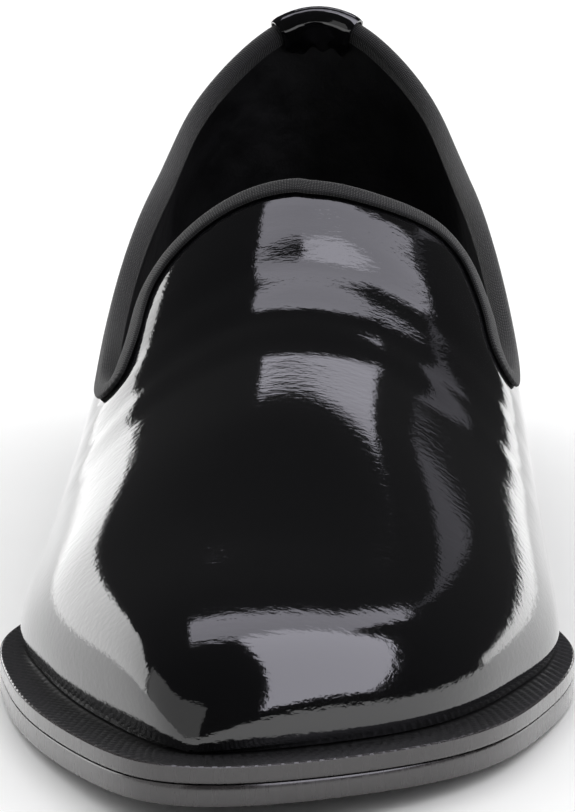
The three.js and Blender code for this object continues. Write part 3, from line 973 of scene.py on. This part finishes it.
def outline_turns(spacing):
    """Turn and side round the sole's edge, evenly spaced by about that many millimetres."""
    turns = np.linspace(0, np.pi, 2000)
    turn = np.concatenate([turns, turns[::-1][1:]])
    side = np.concatenate([np.ones(len(turns)), -np.ones(len(turns) - 1)])
    points = round_edge(turn, side, reach_at(station(turn)))
    travel = travelled(points)
    count = int(round(travel[-1] / spacing))
    at = np.arange(count) * travel[-1] / count
    place = np.interp(at, travel, np.arange(len(turn)))
    low = np.floor(place).astype(int)
    high = np.minimum(low + 1, len(turn) - 1)
    share = place - low
    return turn[low] * (1 - share) + turn[high] * share, side[high], at, travel[-1]


def round_edge(turn, side, reach):
    """Plan points round the whole outline."""
    reach = np.broadcast_to(reach, turn.shape)
    return np.where((side > 0)[:, None], edge_point(turn, 1, reach), edge_point(turn, -1, reach))


WHEEL_DEPTH = 0.35
WHEEL_SLANT = 1.1


class SHOE_OT_welt(bpy.types.Operator):
    """Make the welt, with the slanting marks of the wheel on its upper face"""
    bl_idname = "shoe.welt"
    bl_label = "Welt"

    def execute(self, context):
        pitch = context.scene.shoe_sizes.wheel_pitch
        turn, side, travel, total = outline_turns(spacing=0.3)
        reach = reach_at(station(turn))
        marks = round(total / pitch)
        # Share of the way from the upper to the edge, and height from the base, of the section
        profile = [(k / 10, WELT_THICKNESS) for k in range(9)]
        profile += [(0.88, WELT_THICKNESS - 0.02), (0.95, WELT_THICKNESS - 0.12),
                    (0.985, WELT_THICKNESS - 0.35), (1.0, WELT_THICKNESS - WELT_DROP - 0.2),
                    (1.0, 0.6), (0.997, 0.2), (0.985, 0.0), (0.0, 0.0)]
        columns = []
        for share, height in profile:
            out = share * (reach + WALL) - WALL
            plan = round_edge(turn, side, out)
            height = np.full(len(turn), height)
            if 0.2 < share < 0.9 and height[0] > WELT_THICKNESS - 0.1:
                phase = marks * travel / total - WHEEL_SLANT * out / pitch
                mark = (0.5 - 0.5 * np.cos(2 * math.pi * phase)) ** 2
                height -= WHEEL_DEPTH * mark * smooth_step((out + 0.5) / 1.0)
            columns.append(np.column_stack([plan, welt_bottom(plan[:, 1]) + height]))
        welt = ring_object("welt_strip", np.stack(columns, 1), finish(welt_leather))
        welt.data.materials.append(finish(edge_dressing))
        edge = {
            k for k, (share, height) in enumerate(profile)
            if share > 0.94 and height < WELT_THICKNESS - 0.1}
        for face in welt.data.polygons:
            if all(corner % len(profile) in edge for corner in face.vertices):
                face.material_index = 1
        keep_piece(welt, "sole_leather", "welt")
        return {"FINISHED"}


def sole_layer(name, reach, low, high, wall, material):
    """A layer of the sole over the whole outline. The wall is (share of height, inset) rows."""
    columns, count = 10, 260
    turn = np.linspace(0, np.pi, count)
    sides = {}
    for side in (1, -1):
        rows = []
        for share, inset in wall:
            plan = edge_point(turn, side, reach(station(turn)) - inset)
            y = plan[:, 1]
            rows.append(np.column_stack([plan, low(y) * (1 - share) + high(y) * share]))
        sides[side] = rows

    def across(start, end, height):
        plans = [start * (1 - k / columns) + end * k / columns for k in range(1, columns)]
        return [np.column_stack([plan[:, :2], height(plan[:, 1])]) for plan in plans]

    right, left = sides[1], sides[-1]
    loop = right + across(right[-1], left[-1], high) + left[::-1] + across(left[0], right[0], low)
    grid = np.stack(loop, 1)
    i, j = grid_cells(count, len(loop), False, True)
    faces = (i * len(loop) + j % len(loop))[:, ::-1].tolist()
    points, kept = welded(grid.reshape(-1, 3), faces)
    return make_object(name, points, kept, material)


OUTSOLE_WALL = ((0.0, 0.5), (0.05, 0.15), (0.2, 0.0), (0.6, 0.0), (0.93, 0.0), (1.0, 0.15))
INSOLE_WALL = ((0.0, 0.0), (0.9, 0.0), (1.0, 0.6))


class SHOE_OT_outsole(bpy.types.Operator):
    """Make the leather outsole"""
    bl_idname = "shoe.outsole"
    bl_label = "Outsole"

    def execute(self, context):
        outsole = sole_layer(
            "outsole_leather", reach_at, sole_bottom, lambda y: sole_bottom(y) + OUTSOLE_THICKNESS,
            OUTSOLE_WALL, finish(edge_dressing))
        keep_piece(outsole, "sole_leather", "outsole")
        return {"FINISHED"}


class SHOE_OT_insole(bpy.types.Operator):
    """Make the insole under the foot"""
    bl_idname = "shoe.insole"
    bl_label = "Insole"

    def execute(self, context):
        insole = sole_layer(
            "insole_leather", lambda s: 0 * s - WALL - INSOLE_GAP,
            welt_bottom, lambda y: upper_bottom(y) + INSOLE_RISE,
            INSOLE_WALL, finish(lining_leather))
        keep_piece(insole, "lining_leather", "insole")
        return {"FINISHED"}


def heel_loop(z, inset):
    """Outline of the heel at a height: both sides and the hollow breast."""
    turns = np.linspace(0, turn_at(HEEL_LENGTH - WELT_REACH_HEEL), 60)
    reach = np.full(len(turns), WELT_REACH_HEEL - (HEEL_HEIGHT - z) * HEEL_TAPER - inset)
    right, left = edge_point(turns, 1, reach), edge_point(turns, -1, reach)
    share = np.linspace(0, 1, 24)[1:-1, None]
    breast = right[-1] * (1 - share) + left[-1] * share
    breast[:, 1] += (BREAST_HOLLOW * 4 * share * (1 - share))[:, 0] + inset
    return right, breast, left


def heel_layer(name, low, high, material, top=None):
    """One layer of the heel between two heights, its edges a little rounded."""
    rows = []
    wall = ((low, 0.35), (low + 0.15, 0.08), (low + 0.4, 0.0),
            (high - 0.4, 0.0), (high - 0.15, 0.06), (high, 0.25))
    for z, inset in wall:
        right, breast, left = heel_loop(z, inset)
        plan = np.vstack([right, breast, left[::-1][:-1]])
        height = np.full(len(plan), z)
        if top is not None and z > low + 0.5:
            height = top(plan[:, 1]) - (high - z)
        rows.append(np.column_stack([plan, height]))
    count = len(rows[0])
    points = np.vstack(rows)
    i, j = grid_cells(len(rows), count, False, True)
    faces = (i * count + j % count)[:, ::-1].tolist()
    side = len(right)
    for row, flip in ((0, False), (len(rows) - 1, True)):
        base = row * count
        strips = [[base + k, base + k + 1, base + count - k - 1, base + (count - k) % count]
                  for k in range(side - 1)]
        strips.append([base + k for k in range(side - 1, count - side + 1)])
        faces += [strip[::-1] if flip else strip for strip in strips]
    points, faces = welded(points, faces)
    return make_object(name, points, faces, material)


class SHOE_OT_heel(bpy.types.Operator):
    """Make the heel: a rubber top piece under stacked leather lifts"""
    bl_idname = "shoe.heel"
    bl_label = "Heel"

    def execute(self, context):
        top_piece = heel_layer("top_piece_rubber", 0.0, TOP_PIECE_THICKNESS, finish(heel_rubber))
        keep_piece(top_piece, "heel_rubber", "top_piece")
        lift = (HEEL_HEIGHT - SEAT_RISE - TOP_PIECE_THICKNESS) / LIFT_COUNT
        for k in range(LIFT_COUNT):
            low = TOP_PIECE_THICKNESS + k * lift
            uppermost = k == LIFT_COUNT - 1
            top = (lambda y: sole_bottom(y) - GAP / 3) if uppermost else None
            number = LIFT_COUNT - k
            layer = heel_layer(
                f"heel_lift_leather_{number}", low, low + lift, finish(edge_dressing), top)
            keep_piece(layer, "sole_leather", f"heel_lift_{number}")
        return {"FINISHED"}


# The camera's place, worked out from the photo's perspective, in the last's millimetres
CAMERA_AZIMUTH = 4.27
CAMERA_ELEVATION = 14.9
CAMERA_TARGET = (-3.1, -20.0, 41.85)
CAMERA_DISTANCE = 1000.0
FOCAL_PIXELS = 5160.0
FRAME_HEIGHT = 812
SENSOR = 36.0

# The studio: the floor in metres, and how bright the surroundings are behind the shoe, in front
# of it, and in the gloss, where the panels stand before them
FLOOR_RADIUS = 8.0
LIGHT_BEHIND = 2.2
LIGHT_IN_FRONT = 0.3
LIGHT_IN_GLOSS = 0.03
SOFTBOX_WHITE = "#f1effc"
WALL_WHITE = "#ffffff"
PANEL_DISTANCE = 2500.0
PANEL_MIDDLE = (0.0, -30.0, 50.0)

# Name, colour, brightness and outline of each panel as seen from the shoe: azimuth from the outer
# side round towards the heel, and angle down from straight above, both in degrees
PANELS = (
    ("softbox_vamp", SOFTBOX_WHITE, 1.7, ((158, 24), (16, 32), (37, 51), (43, 49), (48, 34), (130, 33))),
    ("softbox_back", SOFTBOX_WHITE, 1.3, ((107, 54), (65, 50.5), (73, 61), (106, 59))),
    ("softbox_side", SOFTBOX_WHITE, 0.25, ((50, 57), (38, 47), (58, 71), (66, 64))),
    ("strip_toe", SOFTBOX_WHITE, 3.2, ((120, 14), (14, 50), (340, 82), (308, 82))),
    ("wall_left", WALL_WHITE, 2.0, ((110, 84), (128, 74), (152, 62), (170, 70), (170, 93), (110, 93))),
    ("wall_front_left", WALL_WHITE, 0.5, ((172, 60), (215, 52), (250, 55), (250, 93), (172, 93))),
    ("wall_right", WALL_WHITE, 2.0, ((30, 87), (82, 85), (82, 93), (30, 93))),
)


def add_panel(name, white, brightness, corners):
    """A white panel that shows in the gloss, and neither to the camera nor on dull surfaces."""
    azimuth, down = np.radians(np.array(corners, float)).T
    sight = np.column_stack([np.sin(down) * np.cos(azimuth), np.sin(down) * np.sin(azimuth), np.cos(down)])
    material, _, shader = new_material("studio panel, " + name)
    set_inputs(
        shader, Base_Color=srgb("#000000"), Roughness=1.0,
        Emission_Color=srgb(white), Emission_Strength=brightness)
    panel = make_object(
        name, np.array(PANEL_MIDDLE) + PANEL_DISTANCE * sight, [list(range(len(corners)))], material)
    panel.visible_camera = False
    panel.visible_diffuse = False
    panel.visible_shadow = False


class SHOE_OT_stage(bpy.types.Operator):
    """Make the pale floor, the studio lights and the camera"""
    bl_idname = "shoe.stage"
    bl_label = "Stage"

    def execute(self, context):
        scene = context.scene
        bpy.ops.mesh.primitive_circle_add(vertices=96, radius=FLOOR_RADIUS, fill_type="NGON")
        floor = context.object
        floor.name = "floor"
        paper, tree, shader = new_material("background paper, white")
        set_inputs(
            shader, Roughness=0.9,
            Base_Color=blended(tree, noise(tree, 30.0), srgb("#f2f2f2"), srgb("#f6f6f6")))
        floor.data.materials.append(paper)

        world = bpy.data.worlds.new("studio")
        scene.world = world
        world.use_nodes = True
        tree = world.node_tree
        path = add_node(tree, "ShaderNodeLightPath").outputs["Is Glossy Ray"]
        dim = tree.nodes["Background"]
        dim.inputs["Color"].default_value = (1, 1, 1, 1)
        dim.inputs["Strength"].default_value = LIGHT_IN_GLOSS
        # Dull surfaces get most of their light from behind the shoe, and little from the front
        sight = add_node(tree, "ShaderNodeTexCoord").outputs["Generated"]
        behind = add_node(tree, "ShaderNodeSeparateXYZ", {"Vector": sight}).outputs["Y"]
        pale = add_node(tree, "ShaderNodeBackground", {
            "Color": (1, 1, 1, 1),
            "Strength": ranged(tree, behind, LIGHT_IN_FRONT, LIGHT_BEHIND, -0.3, 0.3),
        })
        shown = add_node(tree, "ShaderNodeMixShader", {0: path, 1: pale.outputs[0], 2: dim.outputs[0]})
        tree.links.new(shown.outputs[0], tree.nodes["World Output"].inputs["Surface"])

        for panel in PANELS:
            add_panel(*panel)

        data = bpy.data.cameras.new("camera")
        data.sensor_fit = "AUTO"
        data.sensor_width = SENSOR
        data.lens = FOCAL_PIXELS / FRAME_HEIGHT * SENSOR
        data.clip_start, data.clip_end = 0.01, 100.0
        camera = bpy.data.objects.new("camera", data)
        scene.collection.objects.link(camera)
        azimuth, elevation = math.radians(CAMERA_AZIMUTH), math.radians(CAMERA_ELEVATION)
        ahead = Vector((
            -math.sin(azimuth) * math.cos(elevation), math.cos(azimuth) * math.cos(elevation),
            -math.sin(elevation)))
        camera.location = Vector(to_metres(CAMERA_TARGET)) - ahead * CAMERA_DISTANCE * MM
        camera.rotation_euler = ahead.to_track_quat("-Z", "Y").to_euler()
        scene.camera = camera
        scene.view_settings.view_transform = "Standard"
        return {"FINISHED"}


class SHOE_PT_pieces(bpy.types.Panel):
    bl_idname = "SHOE_PT_pieces"
    bl_label = "Slip-on shoe"
    bl_space_type = "VIEW_3D"
    bl_region_type = "UI"
    bl_category = "Shoe"

    def draw(self, context):
        layout = self.layout
        for group in (context.scene.shoe_sizes, context.scene.shoe_colours):
            for name in group.__annotations__:
                layout.prop(group, name)
        for operator in OPERATORS:
            layout.operator(operator.bl_idname)


OPERATORS = (
    SHOE_OT_stage, SHOE_OT_upper, SHOE_OT_lining, SHOE_OT_binding, SHOE_OT_heel_tab,
    SHOE_OT_welt, SHOE_OT_outsole, SHOE_OT_insole, SHOE_OT_heel,
)
CLASSES = (ShoeSizes, ShoeColours, *OPERATORS, SHOE_PT_pieces)


def register():
    for item in CLASSES:
        bpy.utils.register_class(item)
    bpy.types.Scene.shoe_sizes = bpy.props.PointerProperty(type=ShoeSizes)
    bpy.types.Scene.shoe_colours = bpy.props.PointerProperty(type=ShoeColours)


def unregister():
    del bpy.types.Scene.shoe_colours
    del bpy.types.Scene.shoe_sizes
    for item in reversed(CLASSES):
        bpy.utils.unregister_class(item)


def main():
    register()
    for operator in OPERATORS:
        group, name = operator.bl_idname.split(".")
        getattr(getattr(bpy.ops, group), name)()


if __name__ == "__main__":
    main()
